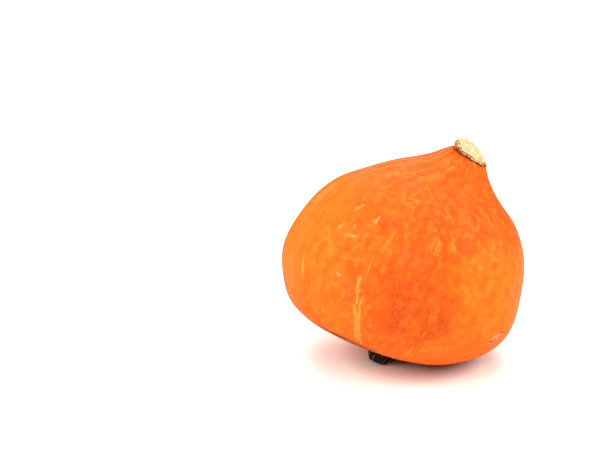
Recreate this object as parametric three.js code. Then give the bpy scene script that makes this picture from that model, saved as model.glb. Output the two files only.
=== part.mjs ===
// Orange teardrop squash of the kabocha family, with the corky stub of its stem and a blossom button.
// Millimetres, +Z up. It rests as it would on a table, leaning over onto its broad underside: the front
// faces -Y and the stem stub points up and to the right, toward +X.
// The origin is on the table, under the middle of the squash.

import * as THREE from "three";

// Driving dimensions of the fruit
// The fruit is a pile of rings along its own axis, from the blossom end up to the stem.
// Each row guides a smooth curve: height of a ring along the axis, its radius, and how far its centre
// is shifted to the right, because the fruit has grown a little crooked.
const FRUIT_ROWS = [
  [0, 0, 10],
  [0.6, 15, 0],
  [4, 54, -7.5],
  [23, 74, 0],
  [44, 83.5, 0],
  [69, 79, 0],
  [90, 72.5, 2],
  [106, 60.5, 3],
  [120, 41.5, 7.5],
  [130, 24.5, 13],
  [137, 18, 13.5],
  [142.5, 13, 15],
];
const FRUIT_TILT = 19.5; // degrees, the axis leans to the right
const FRUIT_LEAN = 8; // degrees, the axis leans away from the front
const REST_DEPTH = 0.8; // depth of the small flat spot that the weight rests on

// The neck turns as it rises, until its end faces the stub.
const NECK_START = 108;
const NECK_END = 142.5;
const NECK_TURN_RIGHT = 11;
const NECK_TURN_FRONT = 8;

// Faint relief of the skin: broad low lobes round the body, and pleats that run down from the neck
const LOBE_COUNT = 10;
const LOBE_HEIGHT = 0.5;
const PLEAT_COUNT = 20;
const PLEAT_HEIGHT = 0.35;
const PLEAT_PHASE = 1; // radians
const PLEATS_START = 0.6; // share of the way from the blossom end to the stem
const PLEATS_FULL = 0.85;

// Driving dimensions of the stem stub
const STUB_RADIUS = 12.6;
const STUB_HEIGHT = 5.1; // in the middle
const STUB_DOME = 0.3;
const STUB_SLOPE_RIGHT = 0.19; // the cut falls away to the right
const STUB_SLOPE_FRONT = 0.25; // and toward the front
const STUB_SHIFT_LEFT = 0.8; // off the middle of the neck
const STUB_SHIFT_FRONT = 1.7;
const STUB_LOBES = 3; // it is a rounded triangle, seen from above
const STUB_LOBE_SHARE = 0.09; // of the radius
const STUB_LOBE_PHASE = 1.72; // radians
const STUB_RIDGES = 9;
const STUB_RIDGE_SHARE = 0.025;
const STUB_RIDGE_TWIST = 4; // radians from foot to rim

// Driving dimensions of the blossom button
const BUTTON_RADIUS = 8.8;
const BUTTON_RIBS = 9;
const BUTTON_RIB_HEIGHT = 0.5;

// Pieces that touch keep this gap.
const GAP = 0.3;

// Fineness of the solids
const FRUIT_SIDES = 80;
const FRUIT_RINGS = 44;
const STUB_SIDES = 40;
const BUTTON_SIDES = 36;

const SKIN_COLOUR = 0xf9731f;
const CORK_COLOUR = 0xe8d3a2;
const BUTTON_COLOUR = 0x2d2e22;

const FULL_TURN = 2 * Math.PI;
const X_AXIS = new THREE.Vector3(1, 0, 0);
const Y_AXIS = new THREE.Vector3(0, 1, 0);

const radians = THREE.MathUtils.degToRad;
const smoothstep = THREE.MathUtils.smoothstep;

// A point of the uniform cubic B-spline through the fruit's rows, for t from 0 to 1.
// Before the first row stands its mirror image, so that the curve meets the axis squarely, and after
// the last row the curve runs straight on, so that it ends at that row.
function fruitProfile(t) {
  const [first, second] = FRUIT_ROWS;
  const [beforeLast, last] = FRUIT_ROWS.slice(-2);
  const mirrored = [2 * first[0] + second[0], -second[1], second[2]];
  const onward = last.map((value, index) => 2 * value - beforeLast[index]);
  const rows = [mirrored, ...FRUIT_ROWS, onward];
  const spans = rows.length - 3;
  const span = Math.min(Math.floor(t * spans), spans - 1);
  const u = t * spans - span;
  const weights = [
    (1 - u) ** 3 / 6,
    (3 * u ** 3 - 6 * u ** 2 + 4) / 6,
    (-3 * u ** 3 + 3 * u ** 2 + 3 * u + 1) / 6,
    u ** 3 / 6,
  ];
  const blend = (column) =>
    weights.reduce((sum, weight, index) => sum + weight * rows[span + index][column], 0);
  return { height: blend(0), radius: blend(1), shift: blend(2) };
}

// Height of the skin's relief at an angle round the axis. The lobes fade at both ends.
function skinRelief(t, angle) {
  const lobes = LOBE_HEIGHT * Math.cos(LOBE_COUNT * angle) * Math.sin(Math.PI * t);
  const pleat = Math.cos(PLEAT_COUNT * angle + PLEAT_PHASE);
  return lobes + PLEAT_HEIGHT * pleat * smoothstep(t, PLEATS_START, PLEATS_FULL);
}

// A point of the skin in the fruit's own upright frame.
function uprightPoint(t, angle) {
  const { height, radius, shift } = fruitProfile(t);
  const reach = radius + skinRelief(t, angle);
  const turn = smoothstep(height, NECK_START, NECK_END);
  return new THREE.Vector3(reach * Math.cos(angle), reach * Math.sin(angle), 0)
    .applyAxisAngle(Y_AXIS, turn * radians(NECK_TURN_RIGHT))
    .applyAxisAngle(X_AXIS, turn * radians(NECK_TURN_FRONT))
    .add(new THREE.Vector3(shift, 0, height));
}

// Lays the upright frame over, so that the fruit leans to the right and back.
function layOver(point) {
  return point.applyAxisAngle(Y_AXIS, radians(FRUIT_TILT)).applyAxisAngle(X_AXIS, -radians(FRUIT_LEAN));
}

// A closed body from rings of points: each end closes on a point in the middle of its last ring.
function ringsGeometry(start, rings, end) {
  const sides = rings[0].length;
  const points = [start, ...rings.flat(), end];
  const last = points.length - 1;
  const at = (ring, side) => 1 + ring * sides + (side % sides);
  const faces = [];
  for (let side = 0; side < sides; side++) {
    faces.push(0, at(0, side + 1), at(0, side));
    faces.push(last, at(rings.length - 1, side), at(rings.length - 1, side + 1));
  }
  for (let ring = 0; ring < rings.length - 1; ring++) {
    for (let side = 0; side < sides; side++) {
      faces.push(at(ring, side), at(ring, side + 1), at(ring + 1, side + 1));
      faces.push(at(ring, side), at(ring + 1, side + 1), at(ring + 1, side));
    }
  }
  const geometry = new THREE.BufferGeometry();
  const positions = points.flatMap((point) => point.toArray());
  geometry.setAttribute("position", new THREE.Float32BufferAttribute(positions, 3));
  geometry.setIndex(faces);
  geometry.computeVertexNormals();
  return geometry;
}

function ringAngles(sides) {
  return Array.from({ length: sides }, (_, side) => (side / sides) * FULL_TURN);
}

function fruitRing(t) {
  return ringAngles(FRUIT_SIDES).map((angle) => layOver(uprightPoint(t, angle)));
}

// The middle of the fruit's first or last ring, where the blossom button and the stub sit.
function fruitEnd(t) {
  const { height, shift } = fruitProfile(t);
  return new THREE.Vector3(shift, 0, height);
}

const fruitRings = Array.from({ length: FRUIT_RINGS }, (_, ring) => fruitRing((ring + 1) / FRUIT_RINGS));
const lowestPoint = Math.min(...fruitRings.flat().map((point) => point.z));
const tableHeight = lowestPoint + REST_DEPTH;

// Sets a point of the laid-over frame on the table: what would reach below it is flattened.
function settle(point) {
  return point.setZ(Math.max(0, point.z - tableHeight));
}

function fruitGeometry() {
  const settled = fruitRings.map((ring) => ring.map(settle));
  return ringsGeometry(settle(layOver(fruitEnd(0))), settled, settle(layOver(fruitEnd(1))));
}

// The stub is a short corky disc, cut off at a slant: thick at the back left, thin at the front right.
// Each row: how far up the side of the stub, as a share, and radius as a share of STUB_RADIUS.
const STUB_ROWS = [
  [0, 0.94],
  [0.15, 1],
  [0.6, 0.99],
  [0.9, 0.95],
  [1, 0.905],
  [1, 0.6],
  [1, 0.3],
];

// The side is slightly lobed and ridged, as bark is, and the cut face is a little domed.
function stubPoint(up, share, angle) {
  const lobes = STUB_LOBE_SHARE * Math.cos(STUB_LOBES * (angle - STUB_LOBE_PHASE));
  const ridges = STUB_RIDGE_SHARE * Math.cos(STUB_RIDGES * angle + STUB_RIDGE_TWIST * up);
  const reach = STUB_RADIUS * share * (1 + lobes + ridges);
  const x = reach * Math.cos(angle) - STUB_SHIFT_LEFT;
  const y = reach * Math.sin(angle) - STUB_SHIFT_FRONT;
  const dome = STUB_DOME * (1 - share ** 2);
  const top = STUB_HEIGHT - STUB_SLOPE_RIGHT * x + STUB_SLOPE_FRONT * y + dome;
  return new THREE.Vector3(x, y, GAP + up * top)
    .applyAxisAngle(Y_AXIS, radians(NECK_TURN_RIGHT))
    .applyAxisAngle(X_AXIS, radians(NECK_TURN_FRONT))
    .add(fruitEnd(1));
}

function stubGeometry() {
  const place = (up, share, angle) => settle(layOver(stubPoint(up, share, angle)));
  const stubRings = STUB_ROWS.map(([up, share]) =>
    ringAngles(STUB_SIDES).map((angle) => place(up, share, angle)));
  return ringsGeometry(place(0, 0, 0), stubRings, place(1, 0, 0));
}

// The button is a ribbed knob that hangs from the blossom end and just meets the table.
// Each row, from the table up: how far down the knob, as a share of its length, and its radius, as a
// share of BUTTON_RADIUS.
const BUTTON_ROWS = [
  [1, 0.8],
  [0.8, 0.95],
  [0.55, 1],
  [0.25, 0.97],
  [0, 0.8],
];

const blossomEnd = fruitEnd(0);
const blossomClearance = layOver(blossomEnd.clone()).z - tableHeight;
const buttonLength = blossomClearance / (Math.cos(radians(FRUIT_TILT)) * Math.cos(radians(FRUIT_LEAN)));

function buttonPoint(down, share, angle) {
  const rib = BUTTON_RIB_HEIGHT * Math.cos(BUTTON_RIBS * angle);
  const reach = (BUTTON_RADIUS + rib) * share;
  const height = -GAP - down * buttonLength;
  return new THREE.Vector3(reach * Math.cos(angle), reach * Math.sin(angle), height).add(blossomEnd);
}

function buttonGeometry() {
  const place = (down, share, angle) => settle(layOver(buttonPoint(down, share, angle)));
  const buttonRings = BUTTON_ROWS.map(([down, share]) =>
    ringAngles(BUTTON_SIDES).map((angle) => place(down, share, angle)));
  return ringsGeometry(place(1, 0, 0), buttonRings, place(0, 0, 0));
}

const squash = new THREE.Group();

function addPiece(name, geometry, colour, roughness) {
  const material = new THREE.MeshStandardMaterial({ color: colour, roughness, metalness: 0 });
  const piece = new THREE.Mesh(geometry, material);
  piece.name = name;
  squash.add(piece);
  return piece;
}

const fruit = addPiece("squash_fruit", fruitGeometry(), SKIN_COLOUR, 0.4);
addPiece("stem_stub", stubGeometry(), CORK_COLOUR, 0.95);
addPiece("blossom_button", buttonGeometry(), BUTTON_COLOUR, 0.85);

// The origin goes under the middle of the fruit.
const middle = new THREE.Box3().setFromObject(fruit).getCenter(new THREE.Vector3());
squash.position.set(-middle.x, -middle.y, 0);
squash.updateMatrixWorld(true);

export default squash;
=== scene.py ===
import math
from functools import lru_cache, reduce
from operator import or_

import bmesh
import bpy
import numpy as np
from mathutils import Matrix, Vector, noise


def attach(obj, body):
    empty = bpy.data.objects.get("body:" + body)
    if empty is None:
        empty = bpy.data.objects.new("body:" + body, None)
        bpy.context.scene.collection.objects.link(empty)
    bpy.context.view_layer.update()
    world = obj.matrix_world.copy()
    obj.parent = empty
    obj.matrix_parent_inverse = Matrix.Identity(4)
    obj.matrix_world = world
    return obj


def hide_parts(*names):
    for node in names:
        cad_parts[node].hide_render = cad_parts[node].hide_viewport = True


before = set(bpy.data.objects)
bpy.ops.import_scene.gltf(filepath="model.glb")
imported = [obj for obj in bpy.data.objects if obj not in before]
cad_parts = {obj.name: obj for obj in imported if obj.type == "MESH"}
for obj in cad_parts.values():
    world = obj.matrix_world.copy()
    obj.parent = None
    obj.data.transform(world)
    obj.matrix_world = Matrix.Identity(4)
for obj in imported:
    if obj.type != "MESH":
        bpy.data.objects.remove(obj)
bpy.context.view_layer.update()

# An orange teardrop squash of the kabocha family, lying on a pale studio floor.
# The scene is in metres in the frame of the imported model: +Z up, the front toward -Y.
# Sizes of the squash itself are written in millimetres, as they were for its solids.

MM = 0.001

# The fruit's outline: height of a ring along its axis, radius, and shift of its centre to the right
FRUIT_ROWS = [
    (0, 0, 10),
    (0.6, 15, 0),
    (4, 54, -7.5),
    (23, 74, 0),
    (44, 83.5, 0),
    (69, 79, 0),
    (90, 72.5, 2),
    (106, 60.5, 3),
    (120, 41.5, 7.5),
    (130, 24.5, 13),
    (137, 18, 13.5),
    (142.5, 13, 15),
]
FRUIT_TILT = math.radians(19.5)
FRUIT_LEAN = math.radians(8)
REST_DEPTH = 0.8
NECK_START = 108
NECK_END = 142.5
NECK_TURN_RIGHT = math.radians(11)
NECK_TURN_FRONT = math.radians(8)
LOBE_COUNT = 10
LOBE_HEIGHT = 0.5
PLEAT_COUNT = 20
PLEAT_HEIGHT = 0.35
PLEAT_PHASE = 1
PLEATS_START = 0.6
PLEATS_FULL = 0.85

# Space between the fruit and the stub or the button
GAP = 0.3

# Fineness of the visible pieces
FRUIT_SIDES = 320
FRUIT_RINGS = 260
STUB_SIDES = 200
STUB_RINGS = 130
BUTTON_SIDES = 144
BUTTON_RINGS = 80

# Fineness at which the fruit is measured
MERIDIAN_STEPS = 400
COARSE_RINGS = 60
COARSE_DEGREES = 3

# Shares of the rings, from the bottom pole up, that make the flat ends under the neighbouring piece
SEAT_SHARE = 0.97
STUB_FOOT_SHARE = 0.12
STUB_RIM_SHARE = 0.45
BUTTON_FOOT_SHARE = 0.2
BUTTON_TOP_SHARE = 0.8

# Radius at which angles round the fruit are turned into distances for its markings
GIRTH = 80


def smoothstep(value, start, end):
    share = min(1, max(0, (value - start) / (end - start)))
    return share * share * (3 - 2 * share)


def mixed(share, first, second):
    return first + share * (second - first)


def rows_at(rows, value):
    """Straight-line reading of rows (value, reading, reading, ...)."""
    for low, high in zip(rows, rows[1:]):
        if value <= high[0]:
            share = (value - low[0]) / (high[0] - low[0])
            return [mixed(share, first, second) for first, second in zip(low[1:], high[1:])]
    return list(rows[-1][1:])


# Shape of the fruit


@lru_cache(maxsize=None)
def fruit_profile(t):
    """Height, radius and shift of the fruit's ring, from 0 at the blossom end to 1 at the stem."""
    first, second = FRUIT_ROWS[:2]
    before_last, last = FRUIT_ROWS[-2:]
    mirrored = (2 * first[0] + second[0], -second[1], second[2])
    onward = tuple(2 * end - before for before, end in zip(before_last, last))
    rows = [mirrored, *FRUIT_ROWS, onward]
    spans = len(rows) - 3
    span = min(int(t * spans), spans - 1)
    u = t * spans - span
    weights = (
        (1 - u) ** 3 / 6,
        (3 * u**3 - 6 * u**2 + 4) / 6,
        (-3 * u**3 + 3 * u**2 + 3 * u + 1) / 6,
        u**3 / 6,
    )
    return tuple(sum(w * row[column] for w, row in zip(weights, rows[span:])) for column in range(3))


@lru_cache(maxsize=None)
def meridian_rows():
    """Rows (t, length of the meridian from the blossom end)."""
    rows = [(0, 0)]
    for step in range(1, MERIDIAN_STEPS + 1):
        height, radius, _ = fruit_profile(step / MERIDIAN_STEPS)
        last_height, last_radius, _ = fruit_profile((step - 1) / MERIDIAN_STEPS)
        length = rows[-1][1] + math.hypot(height - last_height, radius - last_radius)
        rows.append((step / MERIDIAN_STEPS, length))
    return rows


@lru_cache(maxsize=None)
def along(t):
    """Length of the meridian from the blossom end to the ring at t."""
    step = min(int(t * MERIDIAN_STEPS), MERIDIAN_STEPS - 1)
    return rows_at(meridian_rows()[step:step + 2], t)[0]


LAID = Matrix.Rotation(-FRUIT_LEAN, 4, "X") @ Matrix.Rotation(FRUIT_TILT, 4, "Y")


@lru_cache(maxsize=None)
def ring_frame(t):
    """Turns and moves a point from the plane of a ring of the fruit to its laid-over frame."""
    height, _, shift = fruit_profile(t)
    turn = smoothstep(height, NECK_START, NECK_END)
    right = Matrix.Rotation(turn * NECK_TURN_RIGHT, 4, "Y")
    front = Matrix.Rotation(turn * NECK_TURN_FRONT, 4, "X")
    return LAID @ Matrix.Translation((shift, 0, height)) @ front @ right


def ring_point(t, reach, angle):
    return ring_frame(t) @ Vector((reach * math.cos(angle), reach * math.sin(angle), 0))


def skin_relief(t, angle):
    """Height of the low lobes and of the fine pleats near the neck."""
    lobes = LOBE_HEIGHT * math.cos(LOBE_COUNT * angle) * math.sin(math.pi * t)
    pleat = math.cos(PLEAT_COUNT * angle + PLEAT_PHASE)
    return lobes + PLEAT_HEIGHT * pleat * smoothstep(t, PLEATS_START, PLEATS_FULL)


def coarse_skin():
    rings = [step / COARSE_RINGS for step in range(COARSE_RINGS + 1)]
    angles = [math.radians(degrees) for degrees in range(0, 360, COARSE_DEGREES)]
    return [ring_point(t, fruit_profile(t)[1] + skin_relief(t, a), a) for t in rings for a in angles]


def skin_frame():
    """Height of the table under the laid-over fruit, and the middle of its box."""
    points = coarse_skin()
    lows = [min(point[axis] for point in points) for axis in range(3)]
    highs = [max(point[axis] for point in points) for axis in range(3)]
    middle = Vector(((lows[0] + highs[0]) / 2, (lows[1] + highs[1]) / 2, 0))
    return lows[2] + REST_DEPTH, middle


TABLE_HEIGHT, MIDDLE = skin_frame()


def settled(point):
    """A laid-over point in metres on the table, flattened where it would reach below it."""
    place = (point - MIDDLE - Vector((0, 0, TABLE_HEIGHT))) * MM
    place.z = max(0, place.z)
    return place


# Fine relief of the skin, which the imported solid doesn't have

LUMP_SIZE = 26
LUMP_HEIGHT = 0.35
RIPPLE_COUNT = 26
RIPPLE_RUN = 4
RIPPLE_HEIGHT = 0.13
RIPPLES_FADE = (90, 170)
RELIEF_STARTS = (0, 0.08)
RELIEF_ENDS = (0.95, 1)

# The crease low on the left: (angle round the axis in degrees, length along the meridian)
CREASE_ROWS = [
    (-146, 65),
    (-137, 59),
    (-131, 57),
    (-124, 54),
    (-116, 53.3),
    (-109, 53.3),
    (-98, 51.5),
    (-88, 50),
]
CREASE_ENDS = (-143, -132, -98, -90)
CREASE_WIDTH = 1.7
CREASE_DEPTH = 0.5

# Patches of corky scab: (angle, along, radius, height)
SCAB_PATCHES = [
    (-37.5, 93, 3, 0.3),
    (-36, 97, 3.6, 0.3),
    (-33, 101.5, 3, 0.3),
    (-44, 68.5, 2.8, 0.2),
    (-31, 70, 2.8, 0.2),
    (150, 84, 3.2, 0.2),
    (62, 118, 2.6, 0.2),
]
SCAB_GRAIN_SIZE = 1.5
SCAB_GRAIN_LIFT = 0.4
SCAB_BORDER = (0.3, 1)


def crease_depth(degrees, length):
    if not CREASE_ENDS[0] < degrees < CREASE_ENDS[3]:
        return 0
    middle = rows_at(CREASE_ROWS, degrees)[0]
    ends = smoothstep(degrees, *CREASE_ENDS[:2]) * (1 - smoothstep(degrees, *CREASE_ENDS[2:]))
    return ends * CREASE_DEPTH * math.exp(-(((length - middle) / CREASE_WIDTH) ** 2))


def scab_height(degrees, length, grain):
    height = 0
    for patch_degrees, patch_length, radius, patch_height in SCAB_PATCHES:
        sideways = math.radians((degrees - patch_degrees + 180) % 360 - 180) * GIRTH
        distance = math.hypot(sideways, length - patch_length) / radius
        if distance < 1:
            height += patch_height * (1 - smoothstep(distance, *SCAB_BORDER)) * max(0, grain)
    return height


def fine_relief(t, angle, place):
    """Height of the skin's lumps, ripples and scabs, less the depth of the crease."""
    length = along(t)
    lumps = LUMP_HEIGHT * noise.noise(place / LUMP_SIZE)
    around = Vector((RIPPLE_COUNT * math.cos(angle), RIPPLE_COUNT * math.sin(angle), RIPPLE_RUN * t))
    ripples = RIPPLE_HEIGHT * noise.noise(around) * smoothstep(length, *RIPPLES_FADE)
    degrees = math.degrees(angle)
    grain = noise.noise(place / SCAB_GRAIN_SIZE) + SCAB_GRAIN_LIFT
    ends = smoothstep(t, *RELIEF_STARTS) * (1 - smoothstep(t, *RELIEF_ENDS))
    return ends * (lumps + ripples) - crease_depth(degrees, length) + scab_height(degrees, length, grain)


def fruit_place(up, angle):
    """Place and marking coordinates of the skin, or of the flat seat that closes it at the neck."""
    t = min(1, up / SEAT_SHARE)
    reach = fruit_profile(t)[1] + skin_relief(t, angle)
    reach += fine_relief(t, angle, ring_point(t, reach, angle))
    if up > SEAT_SHARE:
        reach *= (1 - up) / (1 - SEAT_SHARE)
    coordinates = Vector((GIRTH * math.cos(angle), GIRTH * math.sin(angle), along(t))) * MM
    return settled(ring_point(t, reach, angle)), coordinates


# Short posts: the stub and the button


def post_row(up, foot_share, rim_share, side_rows):
    """Rise and share of the radius on a short post: on its flat foot, its side or its flat top."""
    if up < foot_share:
        return 0, side_rows[0][1] * up / foot_share
    if up < rim_share:
        rise = (up - foot_share) / (rim_share - foot_share)
        return rise, rows_at(side_rows, rise)[0]
    return 1, side_rows[-1][1] * (1 - up) / (1 - rim_share)


# Shape of the stem stub

STUB_RADIUS = 12.6
STUB_HEIGHT = 5.1
STUB_DOME = 0.3
STUB_SLOPE_RIGHT = 0.19
STUB_SLOPE_FRONT = 0.25
STUB_SHIFT_LEFT = 0.8
STUB_SHIFT_FRONT = 1.7
STUB_LOBES = 3
STUB_LOBE_SHARE = 0.09
STUB_LOBE_PHASE = 1.72
STUB_RIDGES = 9
STUB_RIDGE_SHARE = 0.025
STUB_RIDGE_TWIST = 4

# Its side: (rise, share of the radius), and the shares between which its roughness comes in
STUB_SIDE_ROWS = [
    (0, 0.97),
    (0.1, 1),
    (0.3, 0.97),
    (0.55, 1),
    (0.75, 0.97),
    (0.9, 0.92),
    (1, 0.84),
]
STUB_EDGE = (0.6, 0.84)

# Its bark: sizes and depths, and the noise at which a crack or a gap starts and is full
STUB_CRACKS = 22
STUB_CRACK_RUN = 0.12
STUB_CRACK_DEPTH = 0.7
STUB_CRACK_NOISE = (0.1, 0.5)
STUB_LAYER_SIZE = 3.2
STUB_LAYER_SQUEEZE = 2.6
STUB_LAYER_DEPTH = 1.1
STUB_LAYER_NOISE = (0.05, 0.4)
STUB_CHIP_SIZE = 1.1
STUB_CHIP_DEPTH = 0.5
STUB_GRAIN_SIZE = 0.7
STUB_GRAIN_DEPTH = 0.16
STUB_CRUMBLE_SIZE = 2.4
STUB_CRUMBLE_SHIFT = Vector((3, 5, 1))
STUB_SIDE_CRUMBLE = 1
STUB_RIM_CRUMBLE = 0.3

# Its cut face: pits, and (right, back) of the middle of the small hole near the front rim
STUB_PIT_SIZE = 1.5
STUB_PIT_DEPTH = 0.55
STUB_PIT_NOISE = (0.15, 0.55)
STUB_HOLE = (-3.4, -7)
STUB_HOLE_RADIUS = 0.9
STUB_HOLE_DEPTH = 1.6
STUB_HOLE_WALL = (0.4, 1.1)


def stub_top(x, y, share):
    dome = STUB_DOME * (1 - share**2)
    return STUB_HEIGHT - STUB_SLOPE_RIGHT * x + STUB_SLOPE_FRONT * y + dome


def bark_relief(spot, angle, rise, crumble, grain):
    """How far the side of the stub stands out with its crumbs and sinks in its cracks."""
    around = Vector((math.cos(angle), math.sin(angle), STUB_CRACK_RUN * rise))
    crack = noise.noise(around * STUB_CRACKS / 2)
    layer = noise.noise(Vector((spot.x, spot.y, STUB_LAYER_SQUEEZE * spot.z)) / STUB_LAYER_SIZE)
    relief = STUB_SIDE_CRUMBLE * crumble + STUB_GRAIN_DEPTH * grain
    relief += STUB_CHIP_DEPTH * noise.noise(spot / STUB_CHIP_SIZE)
    relief -= STUB_CRACK_DEPTH * smoothstep(crack, *STUB_CRACK_NOISE)
    return relief - STUB_LAYER_DEPTH * smoothstep(layer, *STUB_LAYER_NOISE)


def face_depth(spot, x, y, edge, crumble, grain):
    """How far the cut face sinks in its pits, its small hole and its crumbled rim."""
    pits = smoothstep(noise.noise(spot / STUB_PIT_SIZE), *STUB_PIT_NOISE)
    from_hole = math.hypot(x - STUB_HOLE[0], y - STUB_HOLE[1]) / STUB_HOLE_RADIUS
    hole = 1 - smoothstep(from_hole, *STUB_HOLE_WALL)
    depth = STUB_PIT_DEPTH * pits + STUB_GRAIN_DEPTH * grain
    return depth + STUB_HOLE_DEPTH * hole + STUB_RIM_CRUMBLE * edge * crumble


def stub_place(up, angle):
    """A point of the corky stub, on its hidden foot, its side or its cut face."""
    rise, share = post_row(up, STUB_FOOT_SHARE, STUB_RIM_SHARE, STUB_SIDE_ROWS)
    lobes = STUB_LOBE_SHARE * math.cos(STUB_LOBES * (angle - STUB_LOBE_PHASE))
    ridges = STUB_RIDGE_SHARE * math.cos(STUB_RIDGES * angle + STUB_RIDGE_TWIST * rise)
    reach = STUB_RADIUS * share * (1 + lobes + ridges)
    spot = Vector((reach * math.cos(angle), reach * math.sin(angle), rise * STUB_HEIGHT))
    edge = smoothstep(share, *STUB_EDGE)
    side = edge * smoothstep(up, STUB_FOOT_SHARE / 2, STUB_FOOT_SHARE)
    crumble = noise.noise(spot / STUB_CRUMBLE_SIZE + STUB_CRUMBLE_SHIFT)
    grain = noise.noise(spot / STUB_GRAIN_SIZE)
    reach += side * bark_relief(spot, angle, rise, crumble, grain)
    x = reach * math.cos(angle) - STUB_SHIFT_LEFT
    y = reach * math.sin(angle) - STUB_SHIFT_FRONT
    lift = rise * stub_top(x, y, share)
    if rise == 1:
        lift -= face_depth(spot, x, y, edge, crumble, grain)
    coordinates = Vector((x, y, rise * STUB_HEIGHT)) * MM
    return settled(ring_frame(1) @ Vector((x, y, GAP + lift))), coordinates


# Shape of the blossom button

BUTTON_RADIUS = 8.8
BUTTON_RIBS = 9
BUTTON_RIB_HEIGHT = 0.5
BUTTON_RIB_BLUNTNESS = 0.7
BUTTON_SIDE_ROWS = [(0, 0.72), (0.25, 0.88), (0.5, 0.98), (0.75, 1), (1, 0.85)]
BUTTON_FOOT_LEFT = 1.8
BUTTON_FOOT_FRONT = 2.6
BUTTON_CRINKLES = 2.4
BUTTON_CRINKLE_HEIGHT = 0.45


def button_length():
    """From the blossom end of the fruit down to the table."""
    clearance = ring_point(0, 0, 0).z - TABLE_HEIGHT
    return clearance / (math.cos(FRUIT_TILT) * math.cos(FRUIT_LEAN))


BUTTON_LENGTH = button_length()


def button_place(up, angle):
    """A point of the ribbed knob under the blossom end, from its foot on the table up."""
    rise, share = post_row(up, BUTTON_FOOT_SHARE, BUTTON_TOP_SHARE, BUTTON_SIDE_ROWS)
    rib = abs(math.cos(BUTTON_RIBS * angle / 2)) ** BUTTON_RIB_BLUNTNESS * 2 - 1
    crinkle = noise.noise(Vector((math.cos(angle), math.sin(angle), rise)) * BUTTON_CRINKLES)
    reach = (BUTTON_RADIUS + BUTTON_RIB_HEIGHT * rib + BUTTON_CRINKLE_HEIGHT * crinkle) * share
    x = reach * math.cos(angle)
    y = reach * math.sin(angle)
    foot = Vector((BUTTON_FOOT_LEFT, BUTTON_FOOT_FRONT, BUTTON_LENGTH)) * (1 - rise)
    coordinates = Vector((x, y, rise * BUTTON_LENGTH)) * MM
    return settled(ring_frame(0) @ (Vector((x, y, -GAP)) - foot)), coordinates


# Making pieces


def put(name, data):
    """A new object in the scene."""
    thing = bpy.data.objects.new(name, data)
    bpy.context.scene.collection.objects.link(thing)
    return thing


def put_mesh(name, shape):
    mesh = bpy.data.meshes.new(name)
    shape.to_mesh(mesh)
    shape.free()
    return put(name, mesh)


def shaped_ball(name, sides, rings, place):
    """A closed piece made from a ball: place(up, angle) gives each vertex its place and coordinates.

    up is the share of the way from the bottom pole to the top one, and angle is round the axis. It is
    rounded, so that all vertices of a ring read the same cached values.
    """
    shape = bmesh.new()
    bmesh.ops.create_uvsphere(shape, u_segments=sides, v_segments=rings, radius=1)
    coordinates = shape.verts.layers.float_vector.new("meridian")
    for vert in shape.verts:
        up = round(math.acos(max(-1, min(1, -vert.co.z))) / math.pi, 5)
        angle = math.atan2(vert.co.y, vert.co.x)
        vert.co, vert[coordinates] = place(up, angle)
    for face in shape.faces:
        face.smooth = True
    return put_mesh(name, shape)


# Shader maths


class Value:
    """A socket of a material whose arithmetic adds Math nodes."""

    def __init__(self, paint, socket):
        self.paint = paint
        self.socket = socket

    def math(self, operation, *values):
        return self.paint.node("ShaderNodeMath", {"operation": operation}, dict(enumerate(values)))

    def __add__(self, other):
        return self.math("ADD", self, other)

    __radd__ = __add__

    def __mul__(self, other):
        return self.math("MULTIPLY", self, other)

    __rmul__ = __mul__

    def __sub__(self, other):
        return self.math("SUBTRACT", self, other)

    def __rsub__(self, other):
        return self.math("SUBTRACT", other, self)

    def __or__(self, other):
        """The larger of two masks."""
        return self.math("MAXIMUM", self, other)


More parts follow.
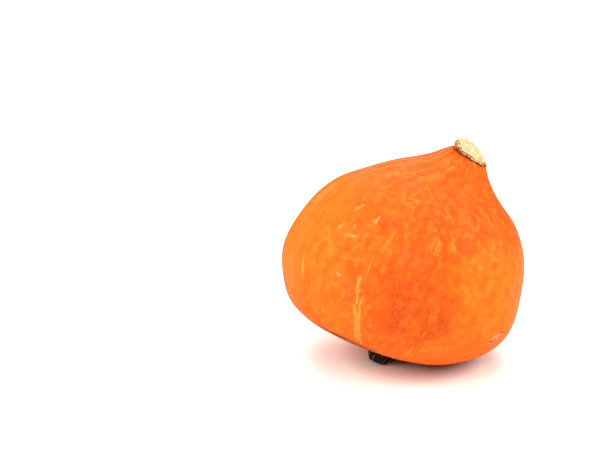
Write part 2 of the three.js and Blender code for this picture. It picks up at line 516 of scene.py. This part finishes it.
class Paint:
    """A material and the nodes that colour it. Masks go from 0 to 1, sizes are in millimetres."""

    def __init__(self, name):
        self.material = bpy.data.materials.new(name)
        self.material.use_nodes = True
        self.tree = self.material.node_tree
        self.shader = self.tree.nodes["Principled BSDF"]

    def node(self, kind, settings, sockets, output=0):
        """Any node: its settings are set first, then the values or links of its sockets."""
        node = self.tree.nodes.new(kind)
        for name, value in settings.items():
            setattr(node, name, value)
        for key, value in sockets.items():
            self.feed(node.inputs[key], value)
        return Value(self, node.outputs[output])

    def feed(self, socket, value):
        if isinstance(value, Value):
            self.tree.links.new(value.socket, socket)
        else:
            socket.default_value = value

    def finish(self, **sockets):
        """Feeds the shader: Base_Color stands for Base Color."""
        for name, value in sockets.items():
            self.feed(self.shader.inputs[name.replace("_", " ")], value)
        return self.material

    def kept(self, name, output):
        """What the attribute of this name holds on the vertices, as a Vector or as a Fac."""
        settings = {"attribute_type": "GEOMETRY", "attribute_name": name}
        return self.node("ShaderNodeAttribute", settings, {}, output)

    def area(self, name, wander, low, high):
        """Mask of an area kept on the vertices, with its border shaken by noise."""
        return self.step(self.kept(name, "Fac") + wander, low, high)

    def part(self, vector, axis):
        return self.node("ShaderNodeSeparateXYZ", {}, {0: vector}, axis)

    def vector(self, operation, sockets, output="Vector"):
        return self.node("ShaderNodeVectorMath", {"operation": operation}, sockets, output)

    def mapped(self, vector, scale, turn=(0, 0, 0)):
        """Coordinates turned by some radians, one axis after the other, and then scaled."""
        sockets = {0: vector, "Rotation": turn}
        turned = self.node("ShaderNodeVectorRotate", {"rotation_type": "EULER_XYZ"}, sockets)
        return self.node("ShaderNodeMapping", {}, {"Vector": turned, "Scale": scale})

    def frayed(self, vector, size, reach):
        """Coordinates shaken by noise: features about size across, moved by up to about reach."""
        sockets = {"Vector": vector, "Scale": 1 / (size * MM)}
        shaken = self.node("ShaderNodeTexNoise", {}, sockets, "Color")
        centred = self.vector("SUBTRACT", {0: shaken, 1: (0.5, 0.5, 0.5)})
        moves = self.vector("SCALE", {0: centred, "Scale": reach * MM})
        return self.vector("ADD", {0: vector, 1: moves})

    def grain(self, vector, size, detail=2, rough=0.5):
        """Noise from 0 to 1 with features about size across."""
        sockets = {"Vector": vector, "Scale": 1 / (size * MM), "Detail": detail, "Roughness": rough}
        return self.node("ShaderNodeTexNoise", {}, sockets, "Fac")

    def step(self, value, low, high):
        """0 below low, 1 above high, smooth between; low may be the larger."""
        sockets = {"Value": value, "From Min": low, "From Max": high}
        return self.node("ShaderNodeMapRange", {"interpolation_type": "SMOOTHSTEP"}, sockets)

    def patches(self, vector, size, low, high, detail=2, rough=0.5):
        """Mask of cloudy patches about size across, which start where the noise is low."""
        return self.step(self.grain(vector, size, detail, rough), low, high)

    def dots(self, vector, size, low, high):
        """Mask of round spots scattered about size apart."""
        settings = {"voronoi_dimensions": "3D", "feature": "F1"}
        sockets = {"Vector": vector, "Scale": 1 / (size * MM)}
        return self.step(self.node("ShaderNodeTexVoronoi", settings, sockets), low, high)

    def mix(self, mask, under, over):
        settings = {"data_type": "RGBA", "blend_type": "MIX"}
        return self.node("ShaderNodeMix", settings, {0: mask, 6: under, 7: over}, 2)

    def mark(self, vector, half_width, half_length, middle, slant, soft):
        """Mask of an oval mark at a place (degrees round the axis, mm along the meridian)."""
        angle = math.radians(middle[0])
        depth = max(MARK_DEPTH, half_width, half_length)
        sockets = {
            "Vector": vector,
            "Location": (GIRTH * MM * math.cos(angle), GIRTH * MM * math.sin(angle), middle[1] * MM),
            "Rotation": (slant, 0, angle),
            "Scale": (depth * MM, half_width * MM, half_length * MM),
        }
        local = self.node("ShaderNodeMapping", {"vector_type": "TEXTURE"}, sockets)
        return self.step(self.vector("LENGTH", {0: local}, "Value"), 1, soft)

    def marks(self, vector, marks, soft):
        """Mask of all marks of a list; they are full out to soft, a share of their size."""
        return reduce(or_, (self.mark(vector, *mark_span(*mark), soft) for mark in marks))

    def bump(self, height, distance):
        sockets = {"Height": height, "Distance": distance * MM, "Strength": 1}
        return self.node("ShaderNodeBump", {}, sockets)


def colour(red, green, blue):
    """A colour given as screen values from 0 to 255, turned into linear light."""
    def linear(level):
        share = level / 255
        return share / 12.92 if share <= 0.04045 else ((share + 0.055) / 1.055) ** 2.4

    return (linear(red), linear(green), linear(blue), 1)


# How far patterns are drawn out along the fruit: the smaller the last number, the longer
UPRIGHT_STRETCH = (1, 1, 0.7)
STREAK_STRETCH = (1, 1, 0.3)
LINE_STRETCH = (1, 1, 0.06)
SPIKE_STRETCH = (1, 1, 0)

# Gloss as a share of the shader's own, and height of the finest relief in mm
RIND_GLOSS = 0.03
RIND_BUMP = 0.08
DRY_GLOSS = 0.2
DRY_BUMP = 0.3


# Rind

ORANGE = colour(229, 88, 29)
DEEP_ORANGE = colour(190, 75, 28)
RED_ORANGE = colour(182, 64, 25)
WARM_ORANGE = colour(238, 109, 32)
YELLOW_ORANGE = colour(246, 128, 48)
YELLOW = colour(248, 132, 48)
STREAK_YELLOW = colour(250, 140, 58)
PALE_YELLOW = colour(250, 162, 98)
# Pale pink of scuffs, and of the painted sheen near the top edges
SCUFF_AND_SHEEN = colour(240, 170, 124)
SCAB = colour(240, 206, 168)
SCAB_BROWN = colour(128, 66, 26)
# Dark brown of the painted shade line in the crease's groove
CREASE_SHADE_BROWN = colour(72, 46, 36)
UNDER_SHADE_BROWN = colour(156, 66, 26)
# Brown of the painted shade on the underside and where the fruit meets the table
BLOSSOM_GREEN = colour(40, 42, 28)
RED_DOT = colour(196, 42, 14)

# Marks on the rind: half width in mm, then the two ends of the mark, each in degrees round the axis
# and mm along the meridian. A mark with one end is round.
YELLOW_STREAKS = [
    (1.7, (-113.2, 109.8), (-113.5, 106.3)),
    (1.4, (-113.5, 106.3), (-113.2, 102.2)),
    (1.2, (-113.2, 102.2), (-112.2, 98.0)),
    (1.1, (-112.0, 98.2), (-111.5, 92.7)),
    (1.6, (-112.2, 90.8), (-111.5, 87.4)),
    (1.6, (-111.5, 88.3), (-109.5, 81.0)),
    (1.7, (-109.5, 81.0), (-106.8, 68.4)),
    (1.7, (-106.8, 68.4), (-104.8, 61.8)),
    (1.2, (-109.5, 97.4), (-109.8, 92.3)),
    (1.5, (-109.8, 92.3), (-108.0, 81.2)),
    (1.8, (-108.0, 81.2), (-105.8, 71.6)),
    (1.6, (-105.8, 71.6), (-103.8, 65.6)),
    (1.5, (-103.8, 65.6), (-101.2, 58.3)),
    (1.1, (-112.0, 102.6), (-111.8, 100.7)),
    (1.8, (-146.5, 104.8), (-144.0, 94.0)),
    (1.1, (-72.8, 58.6), (-75.8, 71.6)),
]
FAINT_STREAKS = [
    (0.7, (-111.8, 123.9), (-111.2, 112.4)),
    (0.6, (-122.8, 117.3), (-119.0, 118.9)),
    (0.9, (-55.8, 179.0), (-55.5, 172.4)),
    (1, (-140.0, 123.5), (-140.0, 121.5)),
]
PALE_FLECKS = [
    (1.8, (-133.8, 148.2), (-131.8, 152.7)),
    (1.9, (-135.8, 132.1), (-134.2, 135.8)),
    (1.7, (-130.0, 130.4), (-124.5, 131.9)),
    (1.9, (-124.2, 107.8), (-123.8, 104.1)),
    (0.9, (-139.0, 95.1)),
    (0.8, (-106.8, 112.0)),
    (1.3, (-61.0, 166.7)),
    (0.8, (-62.8, 170.6)),
    (1.3, (-119.5, 93.8), (-119.2, 91.7)),
    (1.2, (-128.8, 77.1), (-128.0, 74.0)),
]
SCUFFS = [
    (1.2, (-119.5, 148.7), (-119.2, 144.2)),
    (0.9, (-128.0, 137.6)),
    (1.4, (-31.0, 149.0), (-31.0, 145.0)),
    (1.4, (-25.0, 124.0), (-22.0, 119.0)),
    (0.8, (-66.0, 72.8)),
    (0.9, (-70.8, 71.4), (-71.5, 76.6)),
]
YELLOW_DABS = [
    (2.2, (-140.0, 113.3)),
    (1.8, (-142.5, 110.0)),
    (2.4, (-106.5, 163.8)),
    (2.8, (-106.8, 170.6)),
    (2.2, (-105.5, 177.1)),
    (2.4, (-100.2, 169.2)),
    (2, (-112.0, 170.4)),
    (2, (-87.8, 165.5), (-83.8, 167.1)),
    (2.2, (-90.0, 154.2)),
    (4.8, (-88.2, 147.8), (-85.3, 140.8)),
    (1.8, (-65.8, 167.3), (-65.8, 163.4)),
    (1.4, (-68.0, 157.5)),
    (1.8, (-61.0, 153.4), (-59.2, 149.1)),
    (2.6, (-67.0, 141.6)),
    (2.4, (-66.5, 136.4)),
    (2.6, (-60.2, 116.9)),
    (2.2, (-50.8, 114.0)),
    (3, (-48.0, 102.2)),
    (2.6, (-62.8, 96.9)),
    (2, (-58.8, 122.0)),
    (2.4, (-45.0, 121.5)),
    (2.4, (-120.5, 145.1)),
    (2.2, (-120.8, 133.7)),
    (2.4, (-132.2, 107.1)),
    (2.4, (-124.2, 98.6)),
    (2.4, (-82.8, 76.4)),
    (1.8, (-108.5, 143.4), (-108.5, 130.4)),
    (1.4, (-81.0, 156.8), (-79.0, 147.8)),
    (2.6, (-68.8, 125.9), (-65.2, 122.4)),
]
RED_DABS = [
    (1.5, (-95.2, 177.6), (-92.0, 179.0)),
    (1.1, (-115.0, 99.3)),
    (2.2, (-115.2, 144.3)),
    (1, (-79.5, 154.0)),
    (0.9, (-83.5, 149.7)),
]
CREASE_BAND_HALF_WIDTH = 2.8
CREASE_BAND = [
    (CREASE_BAND_HALF_WIDTH, first, second)
    for first, second in zip(CREASE_ROWS[1:], CREASE_ROWS[2:])
]
# The dark painted shade line in the groove of the crease
CREASE_SHADE_LINE = [(2.4, (-123.5, 53.6), (-113, 52.8))]

# Half length of a mark over the distance between its ends, and how deep it reaches into the skin
MARK_STRETCH = 0.9
MARK_DEPTH = 12

# Broad zones of colour: half width and half height in mm, then the middle.
# As they are soft, the mask of an area is kept on the vertices of the rind.
SCAB_SPREAD = 1.3
AREAS = {
    "smooth_area": [(34, 36, (-84, 104)), (30, 22, (-78, 190))],
    "deep_area": [(42, 40, (-84, 103))],
    "upper_area": [(28, 50, (-90, 152))],
    "pink_area": [(12, 9, (-71, 151)), (10, 7, (-112, 150)), (10, 6, (-77, 139))],
    "warm_area": [(48, 54, (-150, 110)), (42, 58, (-44, 126))],
    "edge_area": [(22, 50, (-160, 104))],
    "lined_area": [(44, 50, (-160, 190))],
    # Painted sheen near the upper left edge
    "painted_sheen_area": [(9, 24, (-168, 146))],
    # Painted sheen on the neck lines near the top edge
    "crest_sheen_area": [(22, 36, (-164, 198))],
    # Painted shade on the underside, below the crease
    "under_shade_area": [(48, 13, (-116, 46))],
    "scab_area": [
        (SCAB_SPREAD * radius, SCAB_SPREAD * radius, (around, length))
        for around, length, radius, _ in SCAB_PATCHES
    ],
}


def mark_span(half_width, first, second=None):
    """Half width, half length, middle and slant of a mark between two ends."""
    second = second or first
    sideways = math.radians(second[0] - first[0]) * GIRTH
    endways = second[1] - first[1]
    half_length = max(half_width, MARK_STRETCH * math.hypot(sideways, endways))
    middle = ((first[0] + second[0]) / 2, (first[1] + second[1]) / 2)
    return half_width, half_length, middle, -math.atan2(sideways, endways)


def keep_area(piece, name, marks):
    """Keeps on the vertices how deep each lies in the nearest of the marks, from 0 to 1."""
    rows = np.empty(3 * len(piece.data.vertices), "f")
    piece.data.attributes["meridian"].data.foreach_get("vector", rows)
    right, back, length = rows.reshape(-1, 3).T / MM
    around = np.arctan2(back, right)
    depth = np.zeros_like(length)
    for half_width, half_length, middle, slant in marks:
        sideways = GIRTH * ((around - math.radians(middle[0]) + math.pi) % math.tau - math.pi)
        endways = length - middle[1]
        across = (sideways * math.cos(slant) + endways * math.sin(slant)) / half_width
        lengthways = (endways * math.cos(slant) - sideways * math.sin(slant)) / half_length
        depth = np.maximum(depth, 1 - np.hypot(across, lengthways))
    piece.data.attributes.new(name, "FLOAT", "POINT").data.foreach_set("value", depth.astype("f"))


class Rind(Paint):
    """The skin of the fruit: each colour is laid over the ones before it, as deep as its mask says."""

    def __init__(self):
        super().__init__("rind")
        self.place = self.node("ShaderNodeTexCoord", {}, {}, "Object")
        self.meridian = self.kept("meridian", "Vector")
        self.length = self.part(self.meridian, "Z")
        self.upright = self.mapped(self.place, UPRIGHT_STRETCH, (FRUIT_LEAN, -FRUIT_TILT, 0))
        self.streaked = self.mapped(self.meridian, STREAK_STRETCH)
        self.ragged = self.frayed(self.meridian, 3, 0.8)
        self.wander = 1.2 * (self.grain(self.place, 13, 4, 0.6) - 0.5)
        self.crumbly = self.grain(self.place, 1.6, 2, 0.6)
        self.deep = self.zone("deep_area", 0.7)
        self.skin = ORANGE

    def lay(self, mask, over):
        self.skin = self.mix(mask, self.skin, over)

    def zone(self, name, full):
        """Mask of a broad zone with a wandering border."""
        return self.area(name, self.wander, 0, full)

    def past(self, start, full):
        """Mask of the skin past some millimetres along the meridian."""
        return self.step(self.length, start * MM, full * MM)

    def lay_drift(self):
        """Yellower at both sides, redder low in the middle and toward the neck."""
        self.lay(self.patches(self.place, 70, 0.3, 0.7, 1), WARM_ORANGE)
        self.lay(self.zone("warm_area", 0.45) * 0.75, WARM_ORANGE)
        self.lay(self.deep * 0.85, DEEP_ORANGE)
        self.lay(self.zone("upper_area", 0.7) * 0.45, DEEP_ORANGE)
        self.lay(self.past(140, 190) * 0.65, DEEP_ORANGE)
        self.lay(self.zone("edge_area", 0.7) * 0.3, YELLOW_ORANGE)

    def lay_mottling(self):
        """Soft mottling of several sizes with round spots among it, thin where the skin is smooth."""
        thick = 1 - 0.6 * self.zone("smooth_area", 0.5)
        spotted = self.patches(self.place, 26, 0.3, 0.6, 1) * thick
        uneven = self.frayed(self.upright, 2.4, 3)
        self.lay(self.patches(uneven, 10, 0.48, 0.62, 4, 0.6) * 0.22, YELLOW_ORANGE)
        mottle = self.patches(uneven, 4, 0.5, 0.64, 3, 0.6)
        self.lay(mottle * (0.16 + 0.4 * spotted), YELLOW_ORANGE)
        spots = self.dots(uneven, 6, 0.45, 0.05) * self.patches(self.place, 7, 0.42, 0.62)
        self.lay(spots * spotted * 0.75, YELLOW_ORANGE)
        dots = self.dots(self.frayed(self.upright, 3, 2), 8, 0.34, 0.12)
        self.lay(dots * thick * 0.45, YELLOW_ORANGE)
        self.lay(self.patches(self.upright, 1.5, 0.4, 0.66, 3, 0.7) * 0.16, YELLOW_ORANGE)
        self.lay(self.patches(self.upright, 7, 0.5, 0.62, 3, 0.55) * 0.3, DEEP_ORANGE)
        rust = self.patches(self.upright, 5, 0.48, 0.64)
        self.lay(rust * self.deep * 0.3, RED_ORANGE)
        self.lay(self.zone("pink_area", 0.7) * 0.35, RED_ORANGE)

    def lay_neck_lines(self):
        """Fine lines that run down from the neck, with painted sheen on them near the top edge. Gives
        their height.
        """
        drawn_out = self.mapped(self.meridian, LINE_STRETCH)
        lines = self.grain(drawn_out, 2, 2, 0.6)
        shoulder = self.past(120, 200)
        lined = self.zone("lined_area", 0.7)
        self.lay(self.step(lines, 0.54, 0.68) * shoulder * (0.2 + 0.55 * lined), YELLOW_ORANGE)
        self.lay(self.step(lines, 0.46, 0.34) * shoulder * (0.1 + 0.4 * lined), RED_ORANGE)
        crest_sheen = self.area("crest_sheen_area", 0.5 * self.wander, 0, 0.6)
        # Painted highlight: pale streaks of sheen on the lines near the top edge.
        self.lay(self.patches(drawn_out, 5, 0.5, 0.62) * crest_sheen * 0.6, SCUFF_AND_SHEEN)
        return lines * shoulder

    def lay_underside_bounce_and_shade(self):
        """Painted light near the table: a warm painted glow of bounce light low on the fruit, and brown
        painted shade where the fruit meets the table.
        """
        height = self.part(self.place, "Z")
        # Painted bounce light: warmer orange low on the fruit, fading out 35 mm above the table.
        self.lay(self.step(height, 35 * MM, 8 * MM) * 0.65, WARM_ORANGE)
        # Painted shade: brown just above the table, where the fruit meets it.
        self.lay(self.step(height + 6 * MM * self.wander, 13 * MM, 2 * MM) * 0.4, UNDER_SHADE_BROWN)

    def lay_marks(self):
        """Flecks, dabs, streaks and scuffs, and a painted sheen near the upper left edge."""
        sparse = self.patches(self.place, 16, 0.5, 0.62, 1)
        flecks = self.patches(self.streaked, 2.4, 0.7, 0.78, 1)
        self.lay(flecks * sparse * 0.45, PALE_YELLOW)
        broken = self.step(self.crumbly, 0.4, 0.58)
        dabs = self.area("dab_area", 1.6 * (self.crumbly - 0.5), 0.1, 0.6)
        self.lay(dabs * (0.3 + 0.4 * broken), YELLOW)
        self.lay(self.marks(self.ragged, YELLOW_STREAKS, 0.4), STREAK_YELLOW)
        self.lay(self.marks(self.ragged, FAINT_STREAKS, 0.2) * 0.65, STREAK_YELLOW)
        shaggy = self.frayed(self.meridian, 1.6, 5)
        self.lay(self.marks(shaggy, PALE_FLECKS, 0) * (0.3 + 0.6 * broken), PALE_YELLOW)
        self.lay(self.marks(shaggy, SCUFFS, 0.2) * (0.25 + 0.5 * broken), SCUFF_AND_SHEEN)
        # Painted highlight: a broken pale pinkish sheen near the upper left edge.
        painted_sheen = self.area("painted_sheen_area", 1.5 * self.wander, 0, 0.8)
        self.lay(painted_sheen * broken * 0.28, SCUFF_AND_SHEEN)
        self.lay(self.marks(shaggy, RED_DABS, 0) * 0.6, RED_DOT)

    def lay_scabs(self):
        """Corky scabs: pale crumbs among brown ones."""
        scabs = self.area("scab_area", 0, 0, 0.5)
        brown_bits = self.patches(self.place, 2.2, 0.42, 0.6, 2, 0.6)
        self.lay(scabs * brown_bits * 0.75, SCAB_BROWN)
        pale_bits = self.dots(self.frayed(self.place, 1.2, 2), 1.2, 0.55, 0.25)
        self.lay(scabs * pale_bits * self.step(self.crumbly, 0.42, 0.5) * 0.8, SCAB)

    def lay_crease_scar_and_shade(self):
        """Along the crease underneath: a brown painted shade band on the underside below it, a brown
        band with pale crumbs along it, partly scar and partly painted shade, and a dark painted shade
        line in its groove.
        """
        # Painted shade: a brown band on the underside, which faces the table.
        self.lay(self.area("under_shade_area", 0.3 * self.wander, 0, 0.4) * 0.75, UNDER_SHADE_BROWN)
        # A brown band with pale crumbs along the crease: partly scar, partly painted shade in the
        # crease.
        crease = self.area("crease_area", 0.8 * (self.crumbly - 0.5), 0, 0.6)
        self.lay(crease * 0.5, SCAB_BROWN)
        self.lay(crease * self.step(self.crumbly, 0.56, 0.68) * 0.4, SCUFF_AND_SHEEN)
        # Painted shade: the dark line in the groove of the crease.
        self.lay(self.marks(self.ragged, CREASE_SHADE_LINE, 0.2) * 0.9, CREASE_SHADE_BROWN)

    def lay_blossom_scar(self):
        """A ragged dark star round the button."""
        spikes = self.grain(self.mapped(self.meridian, SPIKE_STRETCH), 16, 2, 0.6)
        self.lay(self.step(self.length - 14 * MM * spikes, 6 * MM, 3 * MM), BLOSSOM_GREEN)


def rind():
    paint = Rind()
    paint.lay_drift()
    paint.lay_mottling()
    line_height = paint.lay_neck_lines()
    paint.lay_underside_bounce_and_shade()
    paint.lay_marks()
    paint.lay_scabs()
    paint.lay_crease_scar_and_shade()
    paint.lay_blossom_scar()
    pores = paint.grain(paint.place, 0.9, 2, 0.6)
    normal = paint.bump(line_height * 0.6 + pores * 0.4, RIND_BUMP)
    rough = 0.44 + 0.16 * paint.grain(paint.streaked, 5)
    gloss = {"Roughness": rough, "Specular_IOR_Level": RIND_GLOSS}
    return paint.finish(Base_Color=paint.skin, Normal=normal, **gloss)


# Cork of the stub

CREAM = colour(209, 189, 150)
TAN = colour(178, 128, 76)
DARK_TAN = colour(106, 58, 30)
# Brown of the painted shade at the stub's foot
FOOT_SHADE_BROWN = colour(128, 48, 14)

# How fast the tan patches of the cut face grow more toward the right, per metre
TAN_DRIFT = 12


def cut_face(paint, spot):
    """Cream with soft tan patches, more of them toward the right, small brown pits, and painted shade in
    and round the small hole.
    """
    rightward = TAN_DRIFT * paint.part(spot, "X")
    patches = paint.step(paint.grain(spot, 4, 3, 0.6) + rightward, 0.46, 0.66)
    cut = paint.mix(patches * 0.45, CREAM, TAN)
    cut = paint.mix(paint.patches(spot, 1.8, 0.56, 0.66) * 0.8, cut, TAN)
    cut = paint.mix(paint.patches(spot, 1, 0.64, 0.72, 2, 0.6) * 0.5, cut, DARK_TAN)
    # Painted shade: dark in and just round the small hole.
    hole = (STUB_HOLE[0] * MM, STUB_HOLE[1] * MM, STUB_HEIGHT * MM)
    from_hole = paint.vector("DISTANCE", {0: spot, 1: hole}, "Value")
    return paint.mix(paint.step(from_hole, 1.2 * STUB_HOLE_RADIUS * MM, 0.4 * MM), cut, DARK_TAN)


def bark(paint, spot, rise):
    """Tan with cream crumbs, dark upright cracks, dark gaps between the layers, and brown painted shade
    at the foot, where the stub meets the fruit.
    """
    skin = paint.mix(paint.patches(spot, 2.2, 0.46, 0.6), TAN, CREAM)
    upward = paint.mapped(spot, STREAK_STRETCH)
    skin = paint.mix(paint.patches(upward, 1.3, 0.54, 0.64, 2, 0.6) * 0.75, skin, DARK_TAN)
    layered = paint.mapped(spot, (1, 1, STUB_LAYER_SQUEEZE))
    gaps = paint.patches(layered, STUB_LAYER_SIZE, 0.55, 0.61, 2, 0.6)
    skin = paint.mix(gaps * 0.85, skin, DARK_TAN)
    # Painted shade: brown at the foot of the stub, where it meets the fruit.
    foot = rise + 2 * MM * paint.grain(spot, 1.6)
    return paint.mix(paint.step(foot, 3 * MM, 1.6 * MM) * 0.85, skin, FOOT_SHADE_BROWN)


def cork():
    paint = Paint("cork")
    spot = paint.kept("meridian", "Vector")
    rise = paint.part(spot, "Z")
    face = paint.step(rise, 0.9 * STUB_HEIGHT * MM, STUB_HEIGHT * MM)
    skin = paint.mix(face, bark(paint, spot, rise), cut_face(paint, spot))
    normal = paint.bump(paint.grain(spot, 0.7, 4, 0.7), DRY_BUMP)
    return paint.finish(Base_Color=skin, Roughness=0.9, Normal=normal, Specular_IOR_Level=DRY_GLOSS)


# Dry knob at the blossom end

KNOB_DARK = colour(40, 42, 33)
KNOB_BROWN = colour(66, 36, 24)
KNOB_LINE = colour(186, 146, 122)
KNOB_BROWN_DRIFT = 14
KNOB_LINES = 13
KNOB_LINE_TWIST = -400

# The pale lip at its right: where it starts on the table, how far it leans out as it rises, half width
LIP_START = 5.2
LIP_LEAN = 0.35
LIP_HALF_WIDTH = 0.8


def knob():
    paint = Paint("knob")
    spot = paint.kept("meridian", "Vector")
    right = paint.part(spot, "X")
    back = paint.part(spot, "Y")
    rise = paint.part(spot, "Z")
    brown = paint.step(paint.grain(spot, 4, 3, 0.6) + KNOB_BROWN_DRIFT * right, 0.45, 0.62)
    skin = paint.mix(brown, KNOB_DARK, KNOB_BROWN)
    around = back.math("ARCTAN2", back, right)
    wave = around.math("SINE", around * KNOB_LINES + rise * KNOB_LINE_TWIST)
    broken = paint.patches(spot, 3, 0.42, 0.55, 2, 0.6)
    skin = paint.mix(paint.step(wave, 0.86, 0.98) * broken * 0.75, skin, KNOB_LINE)
    ragged = right + 2 * MM * (paint.grain(spot, 2) - 0.5)
    from_lip = rise.math("ABSOLUTE", ragged - LIP_LEAN * rise - LIP_START * MM)
    skin = paint.mix(paint.step(from_lip, LIP_HALF_WIDTH * MM, 0) * 0.8, skin, KNOB_LINE)
    normal = paint.bump(paint.grain(spot, 0.8, 3, 0.6), DRY_BUMP)
    return paint.finish(Base_Color=skin, Roughness=0.8, Normal=normal, Specular_IOR_Level=DRY_GLOSS)


# The three pieces of the squash


def dress(piece, material, node):
    piece.data.materials.append(material)
    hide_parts(node)
    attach(piece, "root")


fruit = shaped_ball("fruit_rind", FRUIT_SIDES, FRUIT_RINGS, fruit_place)
for area_name, area_marks in AREAS.items():
    keep_area(fruit, area_name, [(*mark, 0) for mark in area_marks])
keep_area(fruit, "dab_area", [mark_span(*mark) for mark in YELLOW_DABS])
keep_area(fruit, "crease_area", [mark_span(*mark) for mark in CREASE_BAND])
dress(fruit, rind(), "squash_fruit")

stub = shaped_ball("stub_cork", STUB_SIDES, STUB_RINGS, stub_place)
dress(stub, cork(), "stem_stub")

button = shaped_ball("blossom_knob", BUTTON_SIDES, BUTTON_RINGS, button_place)
dress(button, knob(), "blossom_button")


# Studio: floor, light and camera

FLOOR_RADIUS = 0.85
FLOOR_SIDES = 64
FLOOR_WHITE = (0.87, 0.95, 0.92, 1)
WHITE = (1, 1, 1, 1)
SURROUNDINGS_STRENGTH = 0.14

# Square soft lights: name, place, length of a side and watts
SOFTBOXES = [
    ("top_light", (0, 0.2, 1.5), 1.6, 11),
    ("left_light", (-1.25, -0.1, 0.85), 0.9, 14),
    ("right_light", (1.25, -0.1, 0.85), 0.9, 13),
    ("front_light", (0, -1.15, 1.05), 1.2, 16.5),
    ("back_light", (0, 1.3, 1.3), 1.2, 13.5),
]
SOFTBOX_TARGET = (0, 0, 0.07)

CAMERA_TARGET = (-0.069, 0, 0.0932)
CAMERA_DISTANCE = 0.944
CAMERA_ELEVATION = math.radians(15)
CAMERA_LENS = 85


def add_floor():
    shape = bmesh.new()
    bmesh.ops.create_circle(shape, segments=FLOOR_SIDES, radius=FLOOR_RADIUS, cap_ends=True)
    floor = put_mesh("studio_floor", shape)
    floor.data.materials.append(Paint("floor_white").finish(Base_Color=FLOOR_WHITE, Roughness=0.8))


def aim(thing, target):
    thing.rotation_euler = (Vector(target) - thing.location).to_track_quat("-Z", "Y").to_euler()


def add_softbox(name, place, size, watts):
    light = bpy.data.lights.new(name, "AREA")
    light.shape = "SQUARE"
    light.size = size
    light.energy = watts
    softbox = put(name, light)
    softbox.location = place
    aim(softbox, SOFTBOX_TARGET)


def add_surroundings():
    """A dim white light from all round, which the camera sees as plain white."""
    world = bpy.data.worlds.new("white_studio")
    world.use_nodes = True
    tree = world.node_tree
    surroundings = tree.nodes["Background"]
    surroundings.inputs["Color"].default_value = WHITE
    surroundings.inputs["Strength"].default_value = SURROUNDINGS_STRENGTH
    backdrop = tree.nodes.new("ShaderNodeBackground")
    backdrop.inputs["Color"].default_value = WHITE
    seen = tree.nodes.new("ShaderNodeLightPath")
    choice = tree.nodes.new("ShaderNodeMixShader")
    tree.links.new(seen.outputs["Is Camera Ray"], choice.inputs[0])
    tree.links.new(surroundings.outputs[0], choice.inputs[1])
    tree.links.new(backdrop.outputs[0], choice.inputs[2])
    tree.links.new(choice.outputs[0], tree.nodes["World Output"].inputs[0])
    bpy.context.scene.world = world


def add_camera():
    camera = put("camera", bpy.data.cameras.new("camera"))
    camera.data.lens = CAMERA_LENS
    back = Vector((0, -math.cos(CAMERA_ELEVATION), math.sin(CAMERA_ELEVATION)))
    camera.location = Vector(CAMERA_TARGET) + CAMERA_DISTANCE * back
    aim(camera, CAMERA_TARGET)
    bpy.context.scene.camera = camera


add_floor()
add_surroundings()
for softbox_row in SOFTBOXES:
    add_softbox(*softbox_row)
add_camera()
bpy.context.scene.view_settings.view_transform = "Standard"
bpy.context.scene.view_settings.look = "Medium High Contrast"
